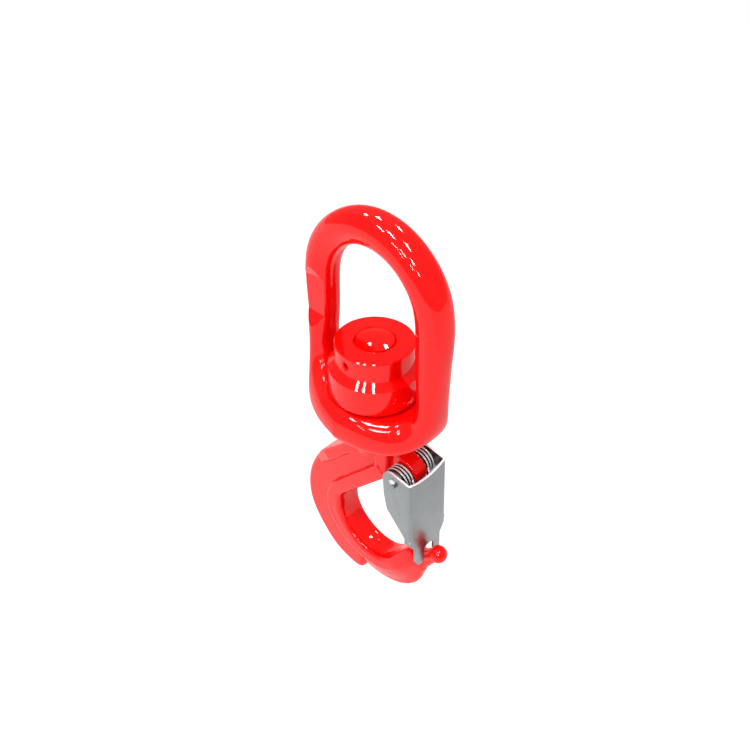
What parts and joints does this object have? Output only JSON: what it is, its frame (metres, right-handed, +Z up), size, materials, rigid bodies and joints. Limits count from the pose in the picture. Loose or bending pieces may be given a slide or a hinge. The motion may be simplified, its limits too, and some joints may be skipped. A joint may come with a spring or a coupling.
{
  "type": "swivel hook",
  "caption": "Lifting hook that swivels on a ball thrust bearing under an oval eye, with a sprung sheet-metal safety latch across its throat.",
  "frame": {"origin": "bearing point of the eye: the crown of its inside, on the load line", "axes": "+Z up along the load line, +X across the eye towards the hook's tip, Y along the latch pin"},
  "size_m": [0.1147, 0.0584, 0.2624],
  "materials": {
    "red_paint": "gloss",
    "plated_sheet": "satin, zinc plated",
    "spring_steel": "bright",
    "bearing_steel": "ground and polished",
    "cage_steel": "pressed"
  },
  "bodies": {
    "eye_frame": {"eye": "red_paint", "lower_race": "bearing_steel"},
    "hook_body": {"hook": "red_paint", "bell_nut": "red_paint", "nut_lock_pin": "spring_steel", "upper_race": "bearing_steel", "latch_pin": "spring_steel", "latch_spring": "spring_steel"},
    "ball_set": {"ball_cage": "cage_steel", "bearing_ball_01": "bearing_steel", "bearing_ball_02": "bearing_steel", "bearing_ball_03": "bearing_steel", "bearing_ball_04": "bearing_steel", "bearing_ball_05": "bearing_steel", "bearing_ball_06": "bearing_steel", "bearing_ball_07": "bearing_steel", "bearing_ball_08": "bearing_steel", "bearing_ball_09": "bearing_steel", "bearing_ball_10": "bearing_steel", "bearing_ball_11": "bearing_steel", "bearing_ball_12": "bearing_steel"},
    "safety_latch": {"latch": "plated_sheet"}
  },
  "joints": [
    {"name": "swivel", "type": "hinge", "parent": "eye_frame", "child": "hook_body", "pos_m": [0, 0, -0.0715], "axis": [0, 0, 1], "continuous": true},
    {"name": "cage_orbit", "type": "hinge", "parent": "eye_frame", "child": "ball_set", "pos_m": [0, 0, -0.0715], "axis": [0, 0, 1], "continuous": true},
    {"name": "latch_pivot", "type": "hinge", "parent": "hook_body", "child": "safety_latch", "pos_m": [0.0265, 0, -0.1182], "axis": [0, 1, 0], "range_deg": [0, 50], "stiffness_Nm_per_rad": 0.15, "springref_deg": -57.3, "deforming": ["latch_spring"]}
  ],
  "couplings": [
    {"joint": "cage_orbit", "follows": "swivel", "ratio": 0.5}
  ]
}
